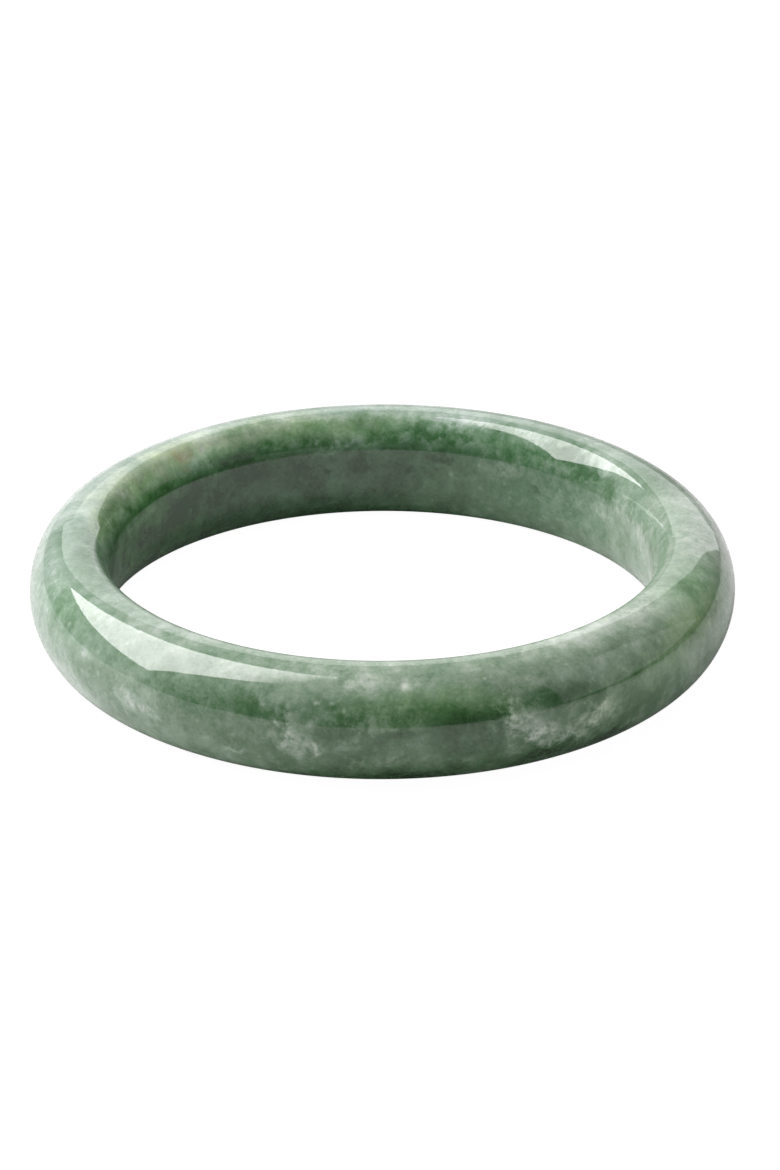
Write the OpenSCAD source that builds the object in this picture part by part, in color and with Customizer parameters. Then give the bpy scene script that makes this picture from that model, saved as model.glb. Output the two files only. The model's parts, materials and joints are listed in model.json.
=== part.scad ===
// Solid jade bangle: one ring of polished stone, cut whole from a block.
// The ring lies on the plane z = 0 with its axis along +Z, centred on the origin.
//
// The section is symmetric about the middle plane. From the outside in, its
// upper half is four arcs that run smoothly into each other, then a straight land:
//   dome      the gently rounded outer face
//   shoulder  the tighter round over the top
//   edge      the small round where the top turns into the hole
//   comfort   the easy curve down to the land
//   land      the straight inner wall that sits next to the wrist

/* [Bangle] */
// Inner diameter, measured across the land
inner_d = 56; // [50:0.5:64]
// Width of the bangle along its axis, which the whole section follows
band_w = 12; // [8:0.5:16]

/* [Section, as shares of the width] */
// Thickness of the wall, from the land to the outermost point
wall_share = 0.7; // [0.7:0.01:0.73]
// Radius of the outer dome
dome_share = 0.58; // [0.57:0.01:0.6]
// Radius of the round at the mouth of the hole
edge_share = 0.165; // [0.155:0.005:0.175]
// Radius of the easing curve inside the hole
comfort_share = 0.47; // [0.46:0.01:0.49]
// Length of the straight land along the axis
land_share = 0.28; // [0.27:0.01:0.3]
// Angle that the dome covers above the middle plane, in degrees
dome_a = 30; // [29:1:32]

/* [Hidden] */

// Facets of a full turn
$fn = 180;
// How far a tighter arc stands proud of the easier one it meets, so that they cross
lap = 0.0005;
// How far, in degrees, a tighter arc runs on under the easier one
run_on = 4;
// Direction of the hole's wall, in degrees from the outward radius
inward = 180;

land_r = inner_d / 2;
half_w = band_w / 2;
wall = wall_share * band_w;
dome_r = dome_share * band_w;
edge_r = edge_share * band_w;
comfort_r = comfort_share * band_w;
land_l = land_share * band_w;

// The shoulder's radius is what brings its crown to the half width
shoulder_r = (half_w - (dome_r + lap) * sin(dome_a)) / (1 - sin(dome_a));

// Centres of the arcs, as [distance from the axis, height above the middle plane]
dome_c = [land_r + wall - dome_r, 0];
shoulder_c = on_arc(dome_c, dome_r + lap - shoulder_r, dome_a);
comfort_c = [land_r + comfort_r, land_l / 2];
// The edge round touches the shoulder and the comfort curve from inside both
edge_c = upper_meeting(
    shoulder_c, shoulder_r + lap - edge_r,
    comfort_c, comfort_r + lap - edge_r
);

// Angles at which one arc hands over to the next
shoulder_end = direction(edge_c - shoulder_c);
edge_end = direction(edge_c - comfort_c);

// Where the three easier arcs of the upper half end, from the outside in
ends = [
    on_arc(dome_c, dome_r, dome_a),
    on_arc(shoulder_c, shoulder_r, shoulder_end),
    on_arc(comfort_c, comfort_r, edge_end),
    on_arc(comfort_c, comfort_r, inward)
];

// Angle of a vector, in degrees from the outward radius
function direction(v) = atan2(v[1], v[0]);

// Point at an angle on an arc
function on_arc(c, r, a) = c + r * [cos(a), sin(a)];

// Upper of the two points where a circle about p meets a circle about q further out
function upper_meeting(p, rp, q, rq) =
    let (
        gap = norm(q - p),
        along = (rp * rp - rq * rq + gap * gap) / (2 * gap),
        across = sqrt(rp * rp - along * along),
        u = (q - p) / gap
    )
    p + along * u + across * [-u[1], u[0]];

// Slice of a disc between two angles
module slice(c, r, from, to) {
    reach = 2 * r;
    intersection() {
        translate(c) circle(r);
        polygon([c, on_arc(c, reach, from), on_arc(c, reach, to)]);
    }
}

// Straight-sided core that joins the ends of the arcs
module core() {
    last = len(ends) - 1;
    polygon(concat(ends, [for (i = [last:-1:0]) [ends[i][0], -ends[i][1]]]));
}

// Rounds of the upper half, from the shoulder into the hole
module rounds() {
    slice(shoulder_c, shoulder_r, dome_a - run_on, shoulder_end);
    slice(edge_c, edge_r, shoulder_end - run_on, edge_end + run_on);
    slice(comfort_c, comfort_r, edge_end, inward);
}

module section() {
    core();
    slice(dome_c, dome_r, -dome_a, dome_a);
    rounds();
    mirror([0, 1]) rounds();
}

module bangle() {
    color([0.44, 0.57, 0.46])
        translate([0, 0, half_w])
            rotate_extrude()
                section();
}

bangle();
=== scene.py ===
"""Polished jade bangle, carved as one ring, on a plain stage.

All lengths are metres unless a name ends in _mm or _MM. The ring lies on z = 0 round the Z axis.
A ring angle of 0 is the front (-Y), 90 the right (+X), 180 the back and -90 the left.
"""

import json
import math

import bpy
import numpy as np
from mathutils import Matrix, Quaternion, Vector


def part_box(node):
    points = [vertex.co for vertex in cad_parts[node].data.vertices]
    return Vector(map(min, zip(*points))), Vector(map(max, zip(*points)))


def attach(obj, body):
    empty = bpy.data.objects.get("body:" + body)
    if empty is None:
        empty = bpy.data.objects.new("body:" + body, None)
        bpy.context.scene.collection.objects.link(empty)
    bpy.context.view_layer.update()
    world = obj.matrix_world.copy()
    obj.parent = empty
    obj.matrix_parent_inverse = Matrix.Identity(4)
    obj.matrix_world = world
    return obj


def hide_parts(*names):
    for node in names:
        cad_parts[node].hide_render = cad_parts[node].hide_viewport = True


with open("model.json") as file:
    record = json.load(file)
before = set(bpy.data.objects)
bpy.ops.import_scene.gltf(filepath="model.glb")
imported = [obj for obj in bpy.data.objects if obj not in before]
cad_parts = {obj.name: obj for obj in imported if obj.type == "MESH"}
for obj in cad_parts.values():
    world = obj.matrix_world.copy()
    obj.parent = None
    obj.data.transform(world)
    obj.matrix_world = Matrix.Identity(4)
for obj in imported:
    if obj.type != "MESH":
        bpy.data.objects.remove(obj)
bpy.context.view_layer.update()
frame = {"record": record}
RING_LOW, RING_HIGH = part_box("bangle")
BORE = next(m for m in frame["record"]["mounts"] if m["name"] == "wrist_bore")["dims"]

bl_info = {
    "name": "Jade Bangle",
    "version": (1, 0, 0),
    "blender": (4, 5, 0),
    "location": "View3D > Sidebar > Bangle",
    "description": "A carved and polished jade bangle, with the stage it is shown on",
    "category": "Object",
}

MM = 0.001
WHITE = (1.0, 1.0, 1.0)


# ---------------------------------------------------------------- sizes and colours


class BangleShape(bpy.types.PropertyGroup):
    """Sizes of the ring. The first four come from the CAD frame."""

    outer_radius: bpy.props.FloatProperty(
        name="Outer radius",
        description="From the axis to the outermost point",
        default=RING_HIGH.x,
        unit="LENGTH",
    )
    inner_radius: bpy.props.FloatProperty(
        name="Inner radius",
        description="From the axis to the straight land that sits next to the wrist",
        default=BORE["r_mm"] * MM,
        unit="LENGTH",
    )
    width: bpy.props.FloatProperty(
        name="Width",
        description="Size of the ring along its axis",
        default=RING_HIGH.z - RING_LOW.z,
        unit="LENGTH",
    )
    land: bpy.props.FloatProperty(
        name="Land",
        description="Length of the straight inner wall along the axis",
        default=BORE["length_mm"] * MM,
        unit="LENGTH",
    )
    dome_share: bpy.props.FloatProperty(
        name="Dome", description="Radius of the outer dome, as a share of the width", default=0.58
    )
    edge_share: bpy.props.FloatProperty(
        name="Edge", description="Radius at the mouth of the hole, as a share of the width", default=0.165
    )
    comfort_share: bpy.props.FloatProperty(
        name="Comfort", description="Radius of the easing inside, as a share of the width", default=0.47
    )
    dome_angle: bpy.props.FloatProperty(
        name="Dome angle",
        description="Angle that the dome covers above the middle plane",
        default=math.radians(30),
        subtype="ANGLE",
    )
    polish_wave: bpy.props.FloatProperty(
        name="Polish wave",
        description="Height of the slow waves that hand polishing leaves",
        default=0.002 * MM,
        unit="LENGTH",
        precision=6,
    )
    steps_round: bpy.props.IntProperty(
        name="Steps round", description="Faces round the ring", default=640
    )
    steps_across: bpy.props.IntProperty(
        name="Steps across", description="Faces round the section", default=148
    )


def colour_property(name, description, default):
    """A colour that a user can change, in linear light."""
    return bpy.props.FloatVectorProperty(
        name=name, description=description, subtype="COLOR", size=3, min=0, max=1, default=default
    )


class StoneLook(bpy.types.PropertyGroup):
    """Colours and polish of the stone."""

    deep: colour_property("Deep green", "The darkest green bands", (0.015, 0.065, 0.012))
    green: colour_property("Green", "The green of most of the stone", (0.098, 0.203, 0.099))
    mist: colour_property("Mist", "The paler green between the bands", (0.335, 0.448, 0.340))
    pale: colour_property("Pale", "The palest, nearly white stone", (0.80, 0.86, 0.80))
    stain: colour_property("Stain", "The brown of a rusty vein", (0.42, 0.30, 0.11))
    roughness: bpy.props.FloatProperty(
        name="Roughness", description="Roughness of the polish", default=0.045, min=0, max=1
    )
    refraction: bpy.props.FloatProperty(
        name="Refraction", description="Index of refraction of jadeite", default=1.66, min=1, max=3
    )
    glow: bpy.props.FloatProperty(
        name="Glow",
        description="Share of the light that travels through the stone",
        default=0.35,
        min=0,
        max=1,
    )
    glow_reach: bpy.props.FloatProperty(
        name="Glow reach",
        description="How far light travels in the stone",
        default=0.8 * MM,
        unit="LENGTH",
    )


class StudioLook(bpy.types.PropertyGroup):
    """The stage, its light and its camera."""

    floor: colour_property("Floor", "Colour of the floor", (0.86, 0.86, 0.86))
    room: bpy.props.FloatProperty(name="Room", description="Light from the dim room", default=0.10, min=0)
    softbox_colour: colour_property("Softbox colour", "Colour of the softbox's light", (1.0, 0.97, 0.985))
    softbox_light: bpy.props.FloatProperty(
        name="Softbox", description="Brightness of the softbox on the left", default=5.2, min=0
    )
    softbox_glint: bpy.props.FloatProperty(
        name="Softbox glint",
        description="How much brighter than that the softbox is in the polish",
        default=0.9,
        min=0,
    )
    card_light: bpy.props.FloatProperty(
        name="Card", description="Brightness of the card on the right", default=0.6, min=0
    )
    backdrop_light: bpy.props.FloatProperty(
        name="Backdrop", description="Brightness of the panel behind", default=1.4, min=0
    )
    scrim_light: bpy.props.FloatProperty(
        name="Scrim", description="Brightness of the soft light overhead", default=0.9, min=0
    )
    camera_distance: bpy.props.FloatProperty(
        name="Distance", description="From the camera to the ring's centre", default=0.5087, unit="LENGTH"
    )
    camera_height: bpy.props.FloatProperty(
        name="Elevation",
        description="Angle of the camera above the horizon",
        default=math.radians(25.58),
        subtype="ANGLE",
    )
    camera_lens: bpy.props.FloatProperty(
        name="Lens", description="Focal length on a 36 mm sensor, in millimetres", default=151.35
    )


# ---------------------------------------------------------------- shape of the ring


def arc_points(centre, radius, start, stop, step=0.01):
    """Arc as rows of distance from the axis, height and direction of the outward normal.

    A point is the centre plus the radius times (cos a, sin a), and a is its normal's direction too.
    It runs from start to stop in even steps close to the given one, all in radians.
    """
    angle = np.linspace(start, stop, max(3, math.ceil(abs(stop - start) / step)))
    return np.stack([centre[0] + radius * np.cos(angle), centre[1] + radius * np.sin(angle), angle], 1)


def upper_meeting(first, first_radius, second, second_radius):
    """Upper of the two points where two circles meet.

    Along the line between the centres it lies at the first radius squared less the second squared
    plus the gap squared, all over twice the gap, and Pythagoras gives its height above that line.
    """
    gap = np.linalg.norm(second - first)
    along = (first_radius**2 - second_radius**2 + gap**2) / (2 * gap)
    across = math.sqrt(first_radius**2 - along**2)
    line = (second - first) / gap
    return first + along * line + across * np.array([-line[1], line[0]])


def half_section(shape):
    """Upper half of the section, from the outermost point over the top and down to the middle of the land.

    Four arcs that run smoothly into each other, and a straight land: rows as in arc_points,
    with heights from the middle plane. The shoulder's radius makes it reach just half the width,
    and the edge touches the shoulder and the comfort curve from inside both.
    """
    half = shape.width / 2
    dome_r = shape.dome_share * shape.width
    edge_r = shape.edge_share * shape.width
    comfort_r = shape.comfort_share * shape.width
    rise = math.sin(shape.dome_angle)
    shoulder_r = (half - dome_r * rise) / (1 - rise)
    dome_c = np.array([shape.outer_radius - dome_r, 0.0])
    shoulder_c = dome_c + (dome_r - shoulder_r) * np.array([math.cos(shape.dome_angle), rise])
    comfort_c = np.array([shape.inner_radius + comfort_r, shape.land / 2])
    edge_c = upper_meeting(shoulder_c, shoulder_r - edge_r, comfort_c, comfort_r - edge_r)
    shoulder_end = math.atan2(*(edge_c - shoulder_c)[::-1])
    edge_end = math.atan2(*(edge_c - comfort_c)[::-1])
    land_end = np.array([[shape.inner_radius, 0.0, math.pi]])
    return np.concatenate(
        [
            arc_points(dome_c, dome_r, 0, shape.dome_angle),
            arc_points(shoulder_c, shoulder_r, shape.dome_angle, shoulder_end)[1:],
            arc_points(edge_c, edge_r, shoulder_end, edge_end)[1:],
            arc_points(comfort_c, comfort_r, edge_end, math.pi)[1:],
            land_end,
        ]
    )


def section_lengths(rows):
    """Length along the section up to each row: the running sum of the distances between neighbours."""
    return np.concatenate([[0], np.cumsum(np.hypot(*np.diff(rows[:, :2], axis=0).T))])


# How much length a turn of one radian counts for when the section is cut into steps
TURN_LENGTH = 1.5 * MM


def section_loop(shape):
    """The whole section as an even number of points, closer together where it turns faster.

    The measure of a row is its length along the section plus TURN_LENGTH times its turn. Even steps of
    that measure give the upper half, and its mirror image below the middle plane closes the loop.
    """
    rows = half_section(shape)
    measure = section_lengths(rows) + TURN_LENGTH * rows[:, 2]
    even = np.linspace(0, measure[-1], shape.steps_across // 2 + 1)
    upper = np.stack([np.interp(even, measure, column) for column in rows.T], 1)
    lower = upper[-2:0:-1] * [1, -1, -1]
    return np.concatenate([upper, lower])


def on_stone(shape, ring_angle, arc_mm):
    """Place on the surface and the normal's direction there.

    The arc is the length along the section from the outermost point, above 0 towards the top and
    then down inside the hole, below 0 towards the bottom.
    """
    rows = half_section(shape)
    lengths = section_lengths(rows)
    radius, height, normal = (np.interp(abs(arc_mm) * MM, lengths, column) for column in rows.T)
    side = math.copysign(1, arc_mm)
    turn = math.radians(ring_angle)
    place = Vector((radius * math.sin(turn), -radius * math.cos(turn), shape.width / 2 + side * height))
    return place, side * normal


# Waves that hand polishing leaves: how many round the ring, how many over the section, start and share
POLISH_WAVES = (
    (5, 1, 0.3, 0.30),
    (11, 2, 1.9, 0.25),
    (17, 1, 4.1, 0.25),
    (23, 3, 2.6, 0.20),
)


def polish_waves(ring, normal):
    """Height of the polish from -1 to 1: the sum of a few sines that close round ring and section."""
    return sum(
        share * np.sin(round_ring * ring + over_section * normal + start)
        for round_ring, over_section, start, share in POLISH_WAVES
    )


def ring_mesh(shape):
    """The ring as a grid: ring angle t one way, section row j the other.

    A point is (r sin t, -r cos t, z), where r and z are the row's own, moved out along its normal
    by the polish wave.
    """
    loop = section_loop(shape)
    ring = np.linspace(0, 2 * math.pi, shape.steps_round, endpoint=False)[:, None]
    radius, height, normal = (column[None, :] for column in loop.T)
    proud = shape.polish_wave * polish_waves(ring, normal)
    radius = radius + proud * np.cos(normal)
    height = height + proud * np.sin(normal) + shape.width / 2
    points = np.stack([radius * np.sin(ring), -radius * np.cos(ring), height], -1)
    return grid_mesh("jade_ring", points)


def grid_mesh(name, points):
    """A mesh from a grid of points that closes on itself both ways, with outward faces."""
    rows, columns = points.shape[:2]
    index = np.arange(rows * columns).reshape(rows, columns)
    onward = np.roll(index, -1, 0)
    quads = np.stack([index, onward, np.roll(onward, -1, 1), np.roll(index, -1, 1)], -1).reshape(-1, 4)
    mesh = bpy.data.meshes.new(name)
    mesh.vertices.add(rows * columns)
    mesh.vertices.foreach_set("co", points.astype(np.float32).ravel())
    mesh.loops.add(quads.size)
    mesh.loops.foreach_set("vertex_index", quads.astype(np.int32).ravel())
    mesh.polygons.add(len(quads))
    mesh.polygons.foreach_set("loop_start", np.arange(0, quads.size, 4, dtype=np.int32))
    mesh.update(calc_edges=True)
    mesh.shade_smooth()
    mesh.validate()
    return mesh


# ---------------------------------------------------------------- the stone


class Tone:
    """A number that varies over the stone. Python's + - * on it add Math nodes."""

    def __init__(self, finish, socket):
        self.finish = finish
        self.socket = socket

    def maths(self, operation, *values, clamp=False):
        settings = {"operation": operation, "use_clamp": clamp}
        made = self.finish.node("ShaderNodeMath", settings, dict(enumerate(values)))
        return Tone(self.finish, made.outputs[0])

    def __add__(self, other):
        return self.maths("ADD", self, other)

    __radd__ = __add__

    def __sub__(self, other):
        return self.maths("SUBTRACT", self, other)

    def __rsub__(self, other):
        return self.maths("SUBTRACT", other, self)

    def __mul__(self, other):
        return self.maths("MULTIPLY", self, other)

    __rmul__ = __mul__

    def unsigned(self):
        """Without its sign."""
        return self.maths("ABSOLUTE", self)

    def clamped(self):
        """Kept between 0 and 1."""
        return self.maths("ADD", self, 0.0, clamp=True)


class Finish:
    """The nodes of a material, or of the world, as it is being made."""

    def __init__(self, name, store="materials"):
        self.result = getattr(bpy.data, store).new(name)
        self.result.use_nodes = True
        self.tree = self.result.node_tree
        self.tree.nodes.clear()

    def node(self, kind, settings=None, inputs=None):
        """Adds a node. Its settings are set first, then each input gets its value or its link."""
        made = self.tree.nodes.new(kind)
        for name, value in (settings or {}).items():
            if name == "stops":
                self.set_stops(made.color_ramp, value)
            else:
                setattr(made, name, value)
        for key, value in (inputs or {}).items():
            if isinstance(value, Tone):
                value = value.socket
            if isinstance(value, bpy.types.NodeSocket):
                self.tree.links.new(value, made.inputs[key])
            else:
                made.inputs[key].default_value = value
        return made

    def set_stops(self, ramp, stops):
        """Fills a colour ramp from (place, colour) pairs."""
        while len(ramp.elements) < len(stops):
            ramp.elements.new(1.0)
        for element, (place, colour) in zip(ramp.elements, stops):
            element.position = place
            element.color = (*colour, 1.0)

    def noise(self, where, size_mm, detail=4.0, roughness=0.55):
        """Noise about 0 with lumps about size_mm across, and a colour made of three such noises."""
        made = self.node(
            "ShaderNodeTexNoise",
            None,
            {"Vector": where, "Scale": 1 / size_mm, "Detail": detail, "Roughness": roughness},
        )
        return Tone(self, made.outputs["Fac"]) - 0.5, made.outputs["Color"]

    def vector(self, operation, *values):
        """Vector maths on places: the node's outputs."""
        return self.node("ShaderNodeVectorMath", {"operation": operation}, dict(enumerate(values))).outputs

    def moved(self, where, by, amount_mm):
        """Places moved by a noise colour about its middle grey, each way by up to half of amount_mm."""
        centred = self.vector("SUBTRACT", by, (0.5, 0.5, 0.5))[0]
        return self.vector("MULTIPLY_ADD", centred, (amount_mm,) * 3, where)[0]

    def mix(self, factor, first, second, blend="MIX"):
        """Two colours mixed by a factor. A Mix node keeps its colours in sockets 6 and 7."""
        made = self.node(
            "ShaderNodeMix", {"data_type": "RGBA", "blend_type": blend}, {0: factor, 6: first, 7: second}
        )
        return made.outputs[2]

    def smooth(self, value, low, high):
        """0 below low, 1 above high and an easy curve between."""
        made = self.node(
            "ShaderNodeMapRange",
            {"interpolation_type": "SMOOTHSTEP"},
            {"Value": value, "From Min": low, "From Max": high},
        )
        return Tone(self, made.outputs[0])

    def lump(self, where, shape, ring_angle, arc_mm, along_mm, up_mm, deep_mm, turn):
        """A soft lump in the stone, 1 in its middle and 0 at its rim, set by its place on the surface.

        Its three sizes are half sizes: round the ring, along the section, and into the stone.
        """
        place, normal = on_stone(shape, ring_angle, arc_mm)
        centred = self.node(
            "ShaderNodeMapping",
            {"vector_type": "TEXTURE"},
            {
                "Vector": where,
                "Location": place / MM,
                "Rotation": (-normal, math.radians(turn), math.radians(ring_angle)),
                "Scale": (along_mm, deep_mm, up_mm),
            },
        )
        ball = self.node("ShaderNodeTexGradient", {"gradient_type": "SPHERICAL"}, {0: centred.outputs[0]})
        return Tone(self, ball.outputs["Fac"])

    def lumps(self, where, shape, rows):
        """The sum of a list of lumps, each times its own amount."""
        return sum(amount * self.lump(where, shape, *place) for *place, amount in rows)

    def facing(self, where, ring_angle, radius_mm):
        """1 on the side of a ring angle and -1 on the far side: the cosine of the angle between.

        It holds at radius_mm from the axis, as the dot product with a vector 1 / radius_mm long.
        """
        turn = math.radians(ring_angle)
        way = (math.sin(turn) / radius_mm, -math.cos(turn) / radius_mm, 0.0)
        return Tone(self, self.vector("DOT_PRODUCT", where, way)["Value"])

    def inside(self, where, outer_mm, inner_mm):
        """0 farther from the axis than outer_mm, 1 nearer than inner_mm."""
        level = self.vector("MULTIPLY", where, (1, 1, 0))[0]
        return 1 - self.smooth(self.vector("LENGTH", level)["Value"], inner_mm, outer_mm)

    def sprinkle(self, where, gap_mm, share):
        """Small specks about gap_mm apart: 1 in a speck's middle, 0 beyond a share of the gap."""
        cells = self.node("ShaderNodeTexVoronoi", None, {"Vector": where, "Scale": 1 / gap_mm})
        return 1 - self.smooth(cells.outputs["Distance"], 0.0, share)


# Lumps of paler and darker stone, listed one by one. A row holds the ring angle and the turn in degrees,
# and everything else but the amount in mm: ring angle, arc along the section from the outermost point,
# half sizes round the ring, along the section and into the stone, turn, and how much paler (above 0)
# or deeper (below 0) the lump makes the stone.

# The large white cloud with feathery edges on the front right
FEATHER_CLOUD = (
    (20.0, 2.6, 2.0, 2.2, 3.0, 0, 0.32),
    (22.5, 1.0, 2.8, 2.8, 3.0, 20, 0.34),
    (25.0, -0.5, 3.4, 2.4, 3.0, 25, 0.27),
    (27.5, -1.2, 3.0, 1.6, 2.5, 10, 0.2),
    (31.5, -1.8, 2.2, 1.6, 2.0, 0, 0.22),
    (34.5, -0.3, 3.8, 1.6, 2.0, -20, 0.36),
    (38.5, -0.5, 3.4, 1.6, 2.0, 0, 0.22),
)

# Small clouds with curdled edges
SMALL_CLOUDS = (
    # outer wall
    (-157.0, -1.0, 3.6, 2.4, 2.5, 15, 0.32),
    (-151.0, 0.6, 2.2, 1.4, 2.0, 0, 0.22),
    (-118.0, 1.2, 6.0, 2.0, 3.0, 0, 0.2),
    (-64.0, 4.2, 2.6, 1.6, 2.0, -20, 0.14),
    (-54.5, 2.3, 1.0, 0.8, 1.5, 0, 0.16),
    (-43.0, -0.3, 2.6, 1.7, 2.5, -15, 0.26),
    (-38.5, -0.9, 1.8, 1.2, 2.0, 0, 0.34),
    (-23.0, -2.0, 1.9, 0.7, 1.5, 0, 0.24),
    (-14.6, 1.4, 1.2, 2.8, 2.0, 0, 0.32),
    (-13.4, -0.5, 3.2, 2.0, 2.5, 0, 0.34),
    (-10.2, -0.9, 1.5, 1.0, 2.0, 0, 0.24),
    (-4.8, -0.2, 2.2, 1.5, 2.0, 0, 0.08),
    (-4.0, -2.4, 1.3, 0.9, 1.5, 0, 0.16),
    (-2.5, 5.9, 2.6, 1.5, 2.0, 0, 0.2),
    (-1.5, 2.2, 7.0, 1.9, 2.5, 0, 0.2),
    (3.0, -1.9, 1.0, 1.2, 1.5, 0, 0.12),
    (14.0, -2.7, 1.4, 0.7, 1.5, 0, 0.12),
    (126.0, 0.8, 5.0, 2.6, 3.0, 25, 0.3),
    (134.0, -1.4, 3.0, 1.8, 2.5, 0, 0.24),
    (171.0, 1.6, 4.4, 2.2, 3.0, -20, 0.26),
    # top
    (160.0, 10.9, 3.2, 1.5, 2.0, 0, 0.16),
    # inner wall
    (-172.0, 13.7, 5.0, 1.1, 1.5, 0, 0.26),
    (-119.5, 15.4, 2.0, 2.2, 2.0, 0, 0.1),
    (104.0, 14.6, 5.0, 2.4, 3.0, 0, 0.16),
    (114.0, 14.2, 4.5, 1.6, 3.0, 0, 0.16),
    (121.5, 15.6, 2.0, 1.6, 2.0, 0, 0.14),
    (133.0, 16.8, 2.4, 2.0, 2.0, 0, 0.1),
    (148.5, 14.7, 2.6, 1.3, 2.0, 0, 0.16),
)

# Broad pale patches without a clear edge
SOFT_CLOUDS = (
    # outer wall
    (-58.0, -2.6, 9.0, 3.0, 3.0, 0, 0.18),
    (-32.0, 4.2, 3.0, 1.5, 2.0, 0, 0.12),
    (-7.0, 7.8, 4.0, 1.3, 2.0, 0, 0.12),
    (52.0, 2.5, 12.0, 3.5, 3.5, 0, 0.08),
    (57.0, 7.0, 7.0, 2.8, 3.0, 0, 0.24),
    (62.0, 4.6, 6.0, 2.2, 3.0, 0, 0.14),
    (86.0, 6.0, 6.5, 3.0, 3.0, 0, 0.14),
    (88.0, 1.5, 8.0, 5.0, 3.0, 0, 0.14),
    # top
    (39.0, 8.8, 9.0, 2.6, 3.0, 0, 0.34),
    (97.0, 11.0, 6.0, 2.2, 2.5, 0, 0.05),
    # inner wall
    (-126.0, 17.0, 8.0, 3.0, 3.0, 0, 0.12),
    (-114.0, 15.0, 9.0, 3.0, 3.0, 0, 0.24),
)

# Deep green patches and bands, and a few patches of painted shade
DEEP_GREEN_AND_SHADE = (
    # outer wall
    (-173.0, 2.2, 6.0, 1.8, 3.0, 0, -0.18),
    (-135.0, -2.0, 7.5, 2.6, 3.0, 0, -0.14),
    (-92.0, 6.2, 12.0, 3.0, 4.0, 0, -0.1),
    (-67.0, 3.4, 4.5, 2.6, 2.5, 0, -0.14),
    (-66.0, 5.6, 5.5, 2.6, 3.0, 0, -0.1),
    (-56.0, 5.2, 12.0, 2.8, 3.0, 0, -0.1),
    (-42.0, 6.2, 17.0, 2.2, 3.0, 0, -0.12),
    (-32.0, 1.9, 3.6, 1.4, 2.0, 0, -0.1),
    (-30.0, 4.4, 9.0, 2.0, 3.0, 0, -0.08),
    (-20.0, 2.7, 4.6, 1.6, 2.5, 0, -0.16),
    (-9.5, 1.1, 1.8, 1.2, 2.0, 0, -0.12),
    (-6.0, 0.9, 3.2, 1.2, 2.0, 0, -0.16),
    (-5.0, 1.9, 4.0, 1.3, 2.0, 0, -0.05),
    (-4.0, -1.8, 5.0, 1.5, 2.0, 0, -0.1),
    (2.0, -4.4, 17.0, 1.8, 3.0, 0, -0.22),
    (3.0, 0.8, 3.6, 1.1, 2.0, 0, -0.16),
    (13.0, 1.7, 5.5, 1.6, 2.5, 0, -0.22),
    (15.0, -0.9, 5.5, 3.2, 3.0, 0, -0.14),
    (24.0, -4.0, 3.8, 1.5, 3.0, 0, -0.24),
    (27.0, -3.2, 2.6, 1.2, 2.0, 0, -0.22),
    (31.5, 2.6, 4.2, 1.3, 2.0, 0, -0.16),
    (38.0, -4.2, 9.0, 1.8, 3.0, 0, -0.26),
    (47.0, -0.8, 7.5, 2.6, 3.0, 0, -0.12),
    (69.0, 3.0, 4.0, 1.3, 2.0, 0, -0.14),
    (112.0, -1.8, 6.0, 2.6, 3.0, 0, -0.14),
    (117.0, 6.2, 8.0, 3.2, 3.0, 0, -0.22),
    (150.0, 1.4, 7.0, 2.4, 3.0, 0, -0.16),
    # top
    (-160.0, 11.9, 9.0, 1.3, 2.5, 0, -0.18),
    (-154.0, 9.4, 8.0, 1.6, 2.5, 0, -0.14),
    (-124.0, 12.4, 6.0, 1.2, 2.5, 0, -0.08),
    (-104.0, 11.6, 9.0, 1.2, 2.5, 0, -0.2),
    (-78.0, 9.2, 12.0, 3.2, 3.0, 0, -0.26),
    (95.0, 11.6, 2.4, 1.2, 2.0, 0, -0.06),
    # Partly deep green and partly painted shade, dimming the softbox's highlight on the top at the back
    # right
    (114.0, 8.8, 7.0, 2.4, 3.0, 0, -0.16),
    (128.0, 12.4, 6.0, 1.1, 2.0, 0, -0.14),
    (130.0, 12.4, 8.0, 1.4, 2.5, 0, -0.12),
    (138.0, 11.3, 8.0, 1.3, 2.0, 0, -0.2),
    # Partly deep green and partly painted shade, dimming the softbox's highlight on the top at the back
    # right
    (140.0, 8.8, 12.0, 2.2, 3.0, 0, -0.14),
    (147.0, 12.0, 12.0, 1.5, 2.5, 0, -0.22),
    (171.0, 11.9, 13.0, 1.5, 2.5, 0, -0.34),
    (180.0, 9.3, 11.0, 1.9, 3.0, 0, -0.16),
    # inner wall
    (-176.0, 15.9, 2.6, 1.4, 2.0, 0, -0.14),
    (-168.0, 18.6, 1.0, 0.6, 1.2, 0, -0.2),
    (-163.0, 15.6, 1.6, 1.0, 1.5, 0, -0.14),
    (-147.0, 14.9, 2.2, 1.5, 2.0, 0, -0.16),
    (-144.0, 12.9, 8.0, 1.5, 2.5, 0, -0.24),
    # Painted shade: darker stone low on the inner wall at the back left, where the floor in the hole lies
    # in shade
    (-122.0, 21.4, 15.0, 3.0, 2.5, 0, -0.28),
    (145.0, 20.6, 0.9, 0.5, 1.0, 0, -0.2),
    (167.5, 15.1, 1.7, 1.1, 1.5, 0, -0.2),
    (175.0, 17.8, 1.2, 0.8, 1.2, 0, -0.12),
)

# Where the stone turns yellowish. In this list and the next two, the amount is how much
WARM_ZONE = (
    # outer wall
    (10.0, 3.4, 12.0, 2.4, 3.0, 0, 0.3),
    (42.0, 0.6, 12.0, 3.6, 3.0, 0, 0.3),
    (60.0, 3.4, 12.0, 2.6, 3.0, 0, 0.6),
    # top
    (-172.0, 11.6, 12.0, 2.2, 3.0, 0, 0.5),
    (-146.0, 11.0, 14.0, 3.2, 3.0, 0, 0.6),
    (-120.0, 11.0, 13.0, 3.2, 3.0, 0, 0.7),
    (-98.0, 11.6, 8.0, 2.4, 3.0, 0, 0.7),
    # inner wall
    (-118.0, 17.0, 13.0, 6.0, 3.0, 0, 0.6),
)

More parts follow.
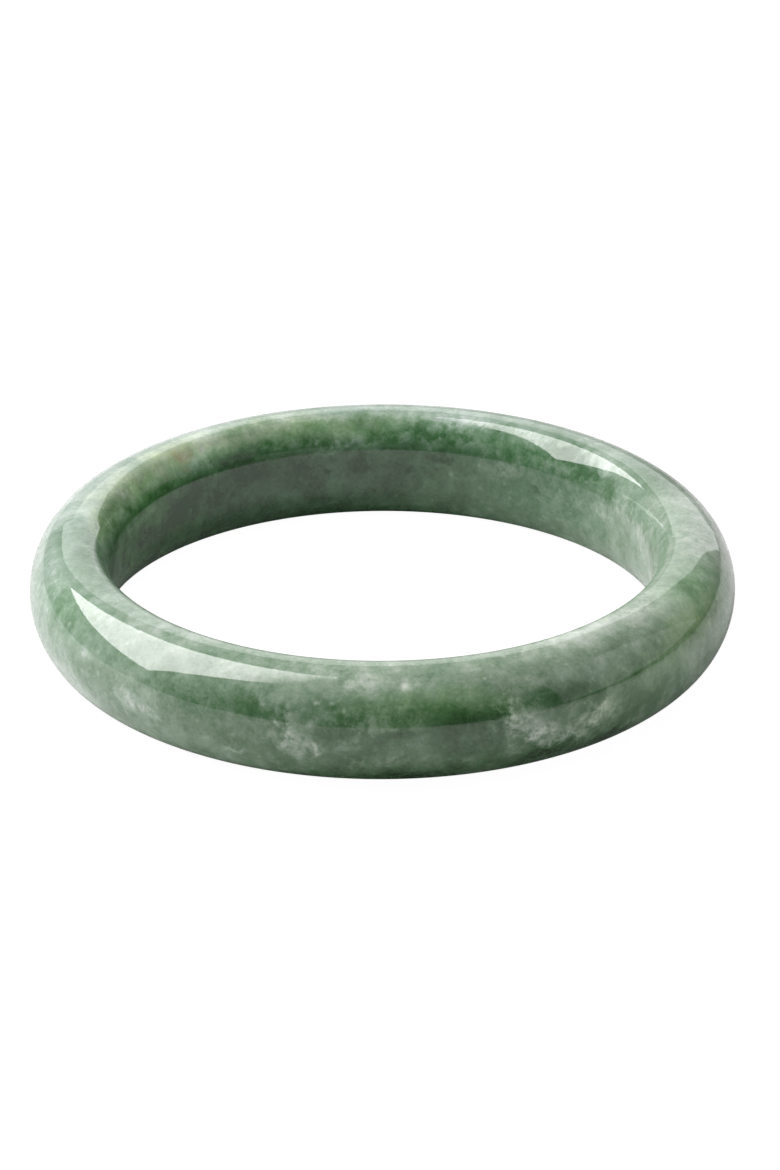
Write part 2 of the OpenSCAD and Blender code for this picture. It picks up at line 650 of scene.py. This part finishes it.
# Where the green is purer
VIVID_ZONE = (
    # outer wall
    (-66.0, 4.2, 8.0, 3.4, 3.0, 0, 0.3),
    (8.0, 3.4, 15.0, 2.8, 3.0, 0, 0.6),
    (50.0, 1.5, 14.0, 4.5, 4.0, 0, 0.45),
    (68.0, 5.8, 11.0, 4.5, 4.0, 0, 0.7),
    # top
    (-92.0, 11.6, 9.0, 2.0, 3.0, 0, 0.5),
    (152.0, 12.2, 13.0, 2.0, 3.0, 0, 0.5),
    (180.0, 12.2, 13.0, 2.0, 3.0, 0, 0.7),
    # inner wall
    (-148.0, 12.8, 14.0, 2.2, 3.0, 0, 1.0),
    (-130.0, 17.0, 13.0, 6.0, 3.0, 0, 0.8),
    (-118.0, 12.6, 13.0, 2.4, 3.0, 0, 0.35),
    (-110.0, 18.0, 13.0, 6.0, 3.0, 0, 0.8),
)

# A rusty vein on the top at the back left
RUSTY_VEIN = (
    (-133.0, 10.9, 1.6, 2.2, 1.5, 0, 0.6),
)

# Single bright specks, paler by their amount
BRIGHT_SPECKS = (
    # outer wall
    (-62.0, 3.6, 0.4, 0.3, 0.5, 0, 0.24),
    (-51.0, 1.0, 0.4, 0.4, 0.5, 0, 0.18),
    (-19.0, 3.1, 0.4, 0.3, 0.5, 0, 0.2),
    (-10.5, 3.8, 0.5, 0.3, 0.5, 0, 0.26),
    (-8.0, 3.9, 0.4, 0.3, 0.5, 0, 0.24),
    (-6.0, 3.2, 0.3, 0.5, 0.5, 0, 0.24),
    (3.6, 5.7, 0.7, 0.6, 0.7, 0, 0.3),
    (16.2, 7.1, 0.7, 0.5, 0.8, 0, 0.18),
    (16.8, 5.9, 0.3, 0.3, 0.5, 0, 0.2),
    (51.0, 4.2, 0.4, 0.5, 0.5, 0, 0.2),
    # inner wall
    (107.0, 15.0, 0.5, 0.5, 0.6, 0, 0.16),
    (164.5, 17.9, 0.5, 0.5, 0.6, 0, 0.18),
)


# Mottling: size in mm, and how strongly it changes the tone
DRIFT_MM, DRIFT = 7.0, 0.34
CURDS_MM, CURDS = 2.6, 0.42
GRAIN_MM, GRAIN = 0.9, 0.32
FINE_MM, FINE = 0.3, 0.16

# Specks and pits: gap between them in mm, their size as a share of it, and how much paler a speck is
SPECK_GAP_MM, SPECK_SHARE, SPECK = 1.6, 0.22, 0.10
PIT_GAP_MM, PIT_SHARE = 4.5, 0.035

# Relief of the polish in mm: how far the grain stands out and how deep a pit is
GRAIN_PROUD_MM, PIT_DEEP_MM = 0.002, 0.006

# The full swing in mm with which the curds bend the grain, the curds and the grain fray a cloud, and
# the grain frays a speck
CURDS_BEND_MM = 2.0
CURDS_FRAY_MM, GRAIN_FRAY_MM = 4.0, 2.2
SPECK_FRAY_MM = 0.5

# How strong the clouds are, and how much the grain breaks them up
FEATHER_STRENGTH, FEATHER_BREAK = 0.80, 3.2
CLOUD_STRENGTH, CLOUD_BREAK = 0.85, 2.4

# Distance of each face from the axis, and where they pass into each other: the inner wall by
# how far it is outside the land, the top by how far it is under the upper edge
OUTER_MM, TOP_MM, INNER_MM = 36.0, 33.0, 28.0
INNER_STARTS_MM, INNER_FULL_MM = 2.6, 1.4
TOP_STARTS_MM, TOP_FULL_MM = 3.6, 1.0

# Lowest tone of each face, its ring angle, and how much the tone rises from there: a quarter turn
# away for the two walls, on the far side for the top
# The top's higher tone is partly painted light from above, and the inner wall's dip is partly painted
# shade
OUTER_TONE, OUTER_DEEPEST, OUTER_RISE = 0.375, 12, 0.30
INNER_TONE, INNER_DEEPEST, INNER_RISE = 0.21, 215, 0.23
TOP_TONE, TOP_DEEPEST, TOP_RISE = 0.59, 20, 0.12
# The ring angle towards which the back of the top is paler still, and how much
TOP_PALEST, TOP_EXTRA = 235, 0.10

# Tones at which the stone has the look's deep, green, mist and pale colours
TONE_STOPS = (0.12, 0.36, 0.62, 0.95)

# What multiplies the colour at the back left and at the front right, the ring angle of the latter,
# and the cosine of the angle from either at which its own tint is full
BACK_TINT, FRONT_TINT = (0.96, 1.0, 1.02, 1.0), (1.0, 1.0, 0.97, 1.0)
TINT_ANGLE, TINT_EDGE = 35, 0.9
# What multiplies the colour in the warm and the vivid zones
WARM_TINT = (0.96, 1.0, 0.60, 1.0)
VIVID_TINT = (0.70, 1.0, 0.66, 1.0)

# How much the curds change the roughness, and how far red, green and blue light travel in the stone
CURDS_ROUGHNESS = 0.03
GLOW_COLOURS = (0.8, 1.0, 0.75)


def face_tones_with_painted_light(stone, where, shape):
    """Tone of each face, partly the stone's own and partly painted light and shade; it changes slowly
    round the ring.

    The outer wall is deepest at its angle and opposite to it, the other two at their angle alone. The
    top's higher tone is partly painted light from above, and the inner wall, darker at the back left and
    paler on the right, is partly painted shade and light.
    """
    outer = OUTER_TONE + OUTER_RISE * (1 - stone.facing(where, OUTER_DEEPEST, OUTER_MM).unsigned())
    inner = INNER_TONE + INNER_RISE * (1 - stone.facing(where, INNER_DEEPEST, INNER_MM))
    behind = 0.5 - 0.5 * stone.facing(where, TOP_DEEPEST, TOP_MM)
    top = TOP_TONE + behind * (TOP_RISE + TOP_EXTRA * stone.facing(where, TOP_PALEST, TOP_MM))
    land_mm, width_mm = shape.inner_radius / MM, shape.width / MM
    height = stone.node("ShaderNodeSeparateXYZ", None, {0: where}).outputs["Z"]
    inward = stone.inside(where, land_mm + INNER_STARTS_MM, land_mm + INNER_FULL_MM)
    upward = stone.smooth(height, width_mm - TOP_STARTS_MM, width_mm - TOP_FULL_MM)
    walls = outer + inward * (inner - outer)
    return walls + upward * (top - walls)


def stone_colour(stone, where, frayed, shape, look, tone):
    """Colour of a tone, tinted from back left to front right, then warmed, freshened and stained."""
    stops = list(zip(TONE_STOPS, (look.deep, look.green, look.mist, look.pale)))
    colour = stone.node("ShaderNodeValToRGB", {"stops": stops}, {0: tone}).outputs[0]
    forward = stone.smooth(stone.facing(where, TINT_ANGLE, OUTER_MM), -TINT_EDGE, TINT_EDGE)
    colour = stone.mix(1.0, colour, stone.mix(forward, BACK_TINT, FRONT_TINT), "MULTIPLY")
    for zone, tint, blend in (
        (WARM_ZONE, WARM_TINT, "MULTIPLY"),
        (VIVID_ZONE, VIVID_TINT, "MULTIPLY"),
        (RUSTY_VEIN, (*look.stain, 1.0), "MIX"),
    ):
        amount = stone.lumps(frayed, shape, zone).clamped()
        colour = stone.mix(amount, colour, tint, blend)
    return colour


def jade(shape, look):
    """Green and white jadeite: slow zones, clouds and deep patches at set places, mottling and specks.

    The tone, painted light and shade included, is how pale the stone looks from 0 to 1; it picks a colour
    between the look's four.
    """
    stone = Finish("jade_stone")
    coordinates = stone.node("ShaderNodeTexCoord").outputs["Object"]
    where = stone.vector("MULTIPLY", coordinates, (1 / MM,) * 3)[0]
    drift, _ = stone.noise(where, DRIFT_MM, detail=3.0)
    curds, curds_colour = stone.noise(where, CURDS_MM, roughness=0.6)
    bent = stone.moved(where, curds_colour, CURDS_BEND_MM)
    grain, grain_colour = stone.noise(bent, GRAIN_MM, roughness=0.65)
    fine, _ = stone.noise(where, FINE_MM, detail=2.0)
    frayed = stone.moved(stone.moved(where, curds_colour, CURDS_FRAY_MM), grain_colour, GRAIN_FRAY_MM)
    speckled = stone.moved(where, grain_colour, SPECK_FRAY_MM)

    # Each face's tone, with painted light on the top and painted shade on the inner wall at the back left
    tone = face_tones_with_painted_light(stone, where, shape)
    tone = tone + DRIFT * drift + CURDS * curds + GRAIN * grain + FINE * fine
    feathers = stone.lumps(frayed, shape, FEATHER_CLOUD)
    clouds = stone.lumps(frayed, shape, SMALL_CLOUDS)
    tone = tone + (FEATHER_STRENGTH + FEATHER_BREAK * grain) * feathers
    tone = tone + (CLOUD_STRENGTH + CLOUD_BREAK * grain) * clouds
    tone = tone + stone.lumps(frayed, shape, SOFT_CLOUDS + DEEP_GREEN_AND_SHADE)
    tone = tone + stone.lumps(speckled, shape, BRIGHT_SPECKS)
    tone = tone + SPECK * stone.sprinkle(where, SPECK_GAP_MM, SPECK_SHARE)

    pits = stone.sprinkle(where, PIT_GAP_MM, PIT_SHARE)
    relief = stone.node(
        "ShaderNodeBump",
        None,
        {"Height": GRAIN_PROUD_MM * grain - PIT_DEEP_MM * pits, "Strength": 1.0, "Distance": MM},
    )
    shader = stone.node(
        "ShaderNodeBsdfPrincipled",
        {"subsurface_method": "RANDOM_WALK"},
        {
            "Base Color": stone_colour(stone, where, frayed, shape, look, tone),
            "Roughness": (look.roughness + CURDS_ROUGHNESS * curds).clamped(),
            "IOR": look.refraction,
            "Subsurface Weight": look.glow,
            "Subsurface Radius": GLOW_COLOURS,
            "Subsurface Scale": look.glow_reach,
            "Normal": relief.outputs[0],
        },
    )
    stone.node("ShaderNodeOutputMaterial", None, {"Surface": shader.outputs[0]})
    return stone.result


class BANGLE_OT_carve_jade_ring(bpy.types.Operator):
    """Carve the jade ring"""

    bl_idname = "bangle.carve_jade_ring"
    bl_label = "Carve the jade ring"

    def execute(self, context):
        shape = context.scene.bangle_shape
        ring = bpy.data.objects.new("jade_ring", ring_mesh(shape))
        context.scene.collection.objects.link(ring)
        ring.data.materials.append(jade(shape, context.scene.stone_look))
        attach(ring, "root")
        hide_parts("bangle")
        return {"FINISHED"}


# ---------------------------------------------------------------- the stage


# Brightness that the camera sees as pure white, and how much of the paper's white doesn't depend on light
PURE_WHITE = 1.15
PAPER_EVENNESS = 0.85

# Half the side of the floor, and how far under the ring the lit part of it lies, clear of the stone
FLOOR_HALF = 4.0
FLOOR_DROP = 0.2 * MM

# Three corners of each cloth light: low back, low front and high front
SOFTBOX_CORNERS = ((-0.29, 0.325, 0.22), (-0.62, -0.125, 0.21), (-0.39, -0.31, 1.15))
CARD_CORNERS = ((0.50, 0.24, 0.065), (0.355, -0.25, 0.015), (0.48, -0.35, 0.63))
# The share of its height from which each fades
SOFTBOX_FADE, CARD_FADE = 0.45, 0.9

# Outline of the panel behind, as azimuth and elevation in degrees, and its distance
BACKDROP_EDGE = (
    (-161, -1),
    (-160, 15),
    (-154, 24),
    (-155, 33),
    (-161, 37),
    (165, 34),
    (156, 29),
    (154, 21),
    (150, 11),
    (150, -1),
)
BACKDROP_DISTANCE = 3.5
# The round card before it: distance, half the angle that it fills in degrees, brightness and corners
ROUND_CARD_DISTANCE, ROUND_CARD_ANGLE, ROUND_CARD_LIGHT = 3.0, 23.6, 0.6
ROUND_CARD_CORNERS = 60

# Half the side and the height of the soft light overhead
SCRIM_HALF, SCRIM_HEIGHT = 0.7, 1.3

# The camera's sensor in millimetres, its small shift and turn, and what it can see from and to
SENSOR_MM = 36.0
CAMERA_SHIFT = (0.0066, -0.0030)
CAMERA_ROLL = math.radians(-0.19)
CAMERA_RANGE = (0.01, 20.0)


def glow_material(name, brightness):
    """A plain even light."""
    glow = Finish(name)
    light = glow.node("ShaderNodeEmission", None, {"Color": (*WHITE, 1), "Strength": brightness})
    glow.node("ShaderNodeOutputMaterial", None, {"Surface": light.outputs[0]})
    glow.result.cycles.emission_sampling = "NONE"
    return glow.result


def seen_by(piece, *kinds):
    """Leaves a stage piece visible only to these kinds of ray."""
    for kind in ("camera", "diffuse", "glossy", "transmission", "volume_scatter", "shadow"):
        setattr(piece, f"visible_{kind}", kind in kinds)


def stage_piece(name, corners, material):
    """A flat piece of the stage."""
    mesh = bpy.data.meshes.new(name)
    mesh.from_pydata([Vector(c) for c in corners], [], [tuple(range(len(corners)))])
    mesh.materials.append(material)
    piece = bpy.data.objects.new(name, mesh)
    bpy.context.scene.collection.objects.link(piece)
    return piece


def square(half, height):
    """Corners of a level square about the Z axis."""
    return [(-half, -half, height), (half, -half, height), (half, half, height), (-half, half, height)]


def lay_floor(look):
    """The floor that lights and mirrors in the stone, and the white paper that the camera sees."""
    floor = Finish("floor")
    matt = floor.node("ShaderNodeBsdfDiffuse", None, {"Color": (*look.floor, 1)})
    floor.node("ShaderNodeOutputMaterial", None, {"Surface": matt.outputs[0]})
    table = stage_piece("table", square(FLOOR_HALF, -FLOOR_DROP), floor.result)
    seen_by(table, "diffuse", "glossy", "transmission", "shadow")

    paper = Finish("paper")
    lit = paper.node("ShaderNodeBsdfDiffuse", None, {"Color": (*look.floor, 1)})
    even = paper.node("ShaderNodeEmission", None, {"Strength": PURE_WHITE})
    both = paper.node(
        "ShaderNodeMixShader", None, {0: PAPER_EVENNESS, 1: lit.outputs[0], 2: even.outputs[0]}
    )
    paper.node("ShaderNodeOutputMaterial", None, {"Surface": both.outputs[0]})
    paper.result.cycles.emission_sampling = "NONE"
    seen_by(stage_piece("paper", square(FLOOR_HALF, 0.0), paper.result), "camera")


def upright(low_back, low_front, high_front):
    """Corners of a rectangle from three of them, the front edge made square to the low one."""
    low_back, low_front, high_front = Vector(low_back), Vector(low_front), Vector(high_front)
    up = high_front - low_front
    up -= up.project(low_front - low_back)
    return [low_back, low_front, low_front + up, low_back + up]


def cloth_light(name, corners, colour, brightness, fade_from, glint=0.0):
    """A softbox: an even glow that fades towards its upper edge from a share of its height on.

    In the polish it is brighter by the glint than as a light on the stone.
    """
    cloth = Finish(name)
    span = cloth.node("ShaderNodeUVMap", {"uv_map": "span"})
    height = cloth.node("ShaderNodeSeparateXYZ", None, {0: span.outputs[0]})
    level = 1 - cloth.smooth(height.outputs["Y"], fade_from, 1.0)
    mirrored = Tone(cloth, cloth.node("ShaderNodeLightPath").outputs["Is Glossy Ray"])
    strength = level * (brightness + glint * mirrored)
    light = cloth.node("ShaderNodeEmission", None, {"Color": (*colour, 1), "Strength": strength})
    cloth.node("ShaderNodeOutputMaterial", None, {"Surface": light.outputs[0]})
    piece = stage_piece(name, upright(*corners), cloth.result)
    layer = piece.data.uv_layers.new(name="span")
    layer.data.foreach_set("uv", [0, 0, 1, 0, 1, 1, 0, 1])
    seen_by(piece, "diffuse", "glossy", "transmission")


def towards(azimuth, elevation, distance):
    """Point in a direction from the ring. Azimuth 0 is the camera's side and 90 the right."""
    a, e = math.radians(azimuth), math.radians(elevation)
    return distance * Vector((math.cos(e) * math.sin(a), -math.cos(e) * math.cos(a), math.sin(e)))


def hang_backdrop(look):
    """A bright low panel behind the ring, with a darker round card before it, seen only in the polish."""
    corners = [towards(azimuth, elevation, BACKDROP_DISTANCE) for azimuth, elevation in BACKDROP_EDGE]
    seen_by(stage_piece("backdrop", corners, glow_material("backdrop", look.backdrop_light)), "glossy")
    size = ROUND_CARD_DISTANCE * math.tan(math.radians(ROUND_CARD_ANGLE))
    turns = np.linspace(0, 2 * math.pi, ROUND_CARD_CORNERS, endpoint=False)
    disc = [(size * math.cos(t), ROUND_CARD_DISTANCE, size * math.sin(t)) for t in turns]
    seen_by(stage_piece("round_card", disc, glow_material("round_card", ROUND_CARD_LIGHT)), "glossy")


def hang_lights(look):
    """The softbox on the left, the card on the right, and the scrim overhead, which faces down."""
    softbox_light = (look.softbox_colour, look.softbox_light, SOFTBOX_FADE, look.softbox_glint)
    cloth_light("softbox", SOFTBOX_CORNERS, *softbox_light)
    cloth_light("card", CARD_CORNERS, WHITE, look.card_light, CARD_FADE)
    overhead = square(SCRIM_HALF, SCRIM_HEIGHT)[::-1]
    scrim = stage_piece("scrim", overhead, glow_material("scrim", look.scrim_light))
    seen_by(scrim, "diffuse", "transmission")


def light_room(look):
    """White for the camera, a dim even grey for everything else."""
    room = Finish("room", "worlds")
    path = room.node("ShaderNodeLightPath").outputs["Is Camera Ray"]
    dim = room.node("ShaderNodeBackground", None, {"Strength": look.room})
    white = room.node("ShaderNodeBackground", None, {"Color": (*WHITE, 1), "Strength": PURE_WHITE})
    both = room.node("ShaderNodeMixShader", None, {0: path, 1: dim.outputs[0], 2: white.outputs[0]})
    room.node("ShaderNodeOutputWorld", None, {"Surface": both.outputs[0]})
    bpy.context.scene.world = room.result


def place_camera(look):
    """The camera, aimed at the ring's centre and turned a little about its own axis."""
    lens = bpy.data.cameras.new("camera")
    lens.lens = look.camera_lens
    lens.sensor_width = SENSOR_MM
    lens.shift_x, lens.shift_y = CAMERA_SHIFT
    lens.clip_start, lens.clip_end = CAMERA_RANGE
    camera = bpy.data.objects.new("camera", lens)
    centre = Vector((0, 0, (RING_LOW.z + RING_HIGH.z) / 2))
    back = towards(0, math.degrees(look.camera_height), 1.0)
    camera.location = centre + look.camera_distance * back
    camera.rotation_mode = "QUATERNION"
    roll = Quaternion((0, 0, 1), CAMERA_ROLL)
    camera.rotation_quaternion = (-back).to_track_quat("-Z", "Y") @ roll
    bpy.context.scene.collection.objects.link(camera)
    bpy.context.scene.camera = camera


class BANGLE_OT_set_stage(bpy.types.Operator):
    """Lay the floor, hang the lights and place the camera"""

    bl_idname = "bangle.set_stage"
    bl_label = "Set the stage"

    def execute(self, context):
        look = context.scene.studio_look
        place_camera(look)
        lay_floor(look)
        hang_backdrop(look)
        light_room(look)
        hang_lights(look)
        context.scene.view_settings.view_transform = "Standard"
        return {"FINISHED"}


class VIEW3D_PT_bangle(bpy.types.Panel):
    """The bangle's steps, sizes and colours"""

    bl_label = "Jade bangle"
    bl_space_type = "VIEW_3D"
    bl_region_type = "UI"
    bl_category = "Bangle"

    def draw(self, context):
        column = self.layout.column()
        for step in STEPS:
            column.operator(step.bl_idname)
        for group in ("bangle_shape", "stone_look", "studio_look"):
            settings = getattr(context.scene, group)
            for name in settings.__annotations__:
                column.prop(settings, name)


STEPS = (BANGLE_OT_set_stage, BANGLE_OT_carve_jade_ring)
CLASSES = (BangleShape, StoneLook, StudioLook, *STEPS, VIEW3D_PT_bangle)


def register():
    """Makes the classes known to Blender, and gives each scene the three groups of settings."""
    for made in CLASSES:
        bpy.utils.register_class(made)
    bpy.types.Scene.bangle_shape = bpy.props.PointerProperty(type=BangleShape)
    bpy.types.Scene.stone_look = bpy.props.PointerProperty(type=StoneLook)
    bpy.types.Scene.studio_look = bpy.props.PointerProperty(type=StudioLook)


def unregister():
    """Undoes what register did."""
    del bpy.types.Scene.studio_look
    del bpy.types.Scene.stone_look
    del bpy.types.Scene.bangle_shape
    for made in reversed(CLASSES):
        bpy.utils.unregister_class(made)


def main():
    """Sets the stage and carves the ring."""
    register()
    bpy.ops.bangle.set_stage()
    bpy.ops.bangle.carve_jade_ring()


if __name__ == "__main__":
    main()
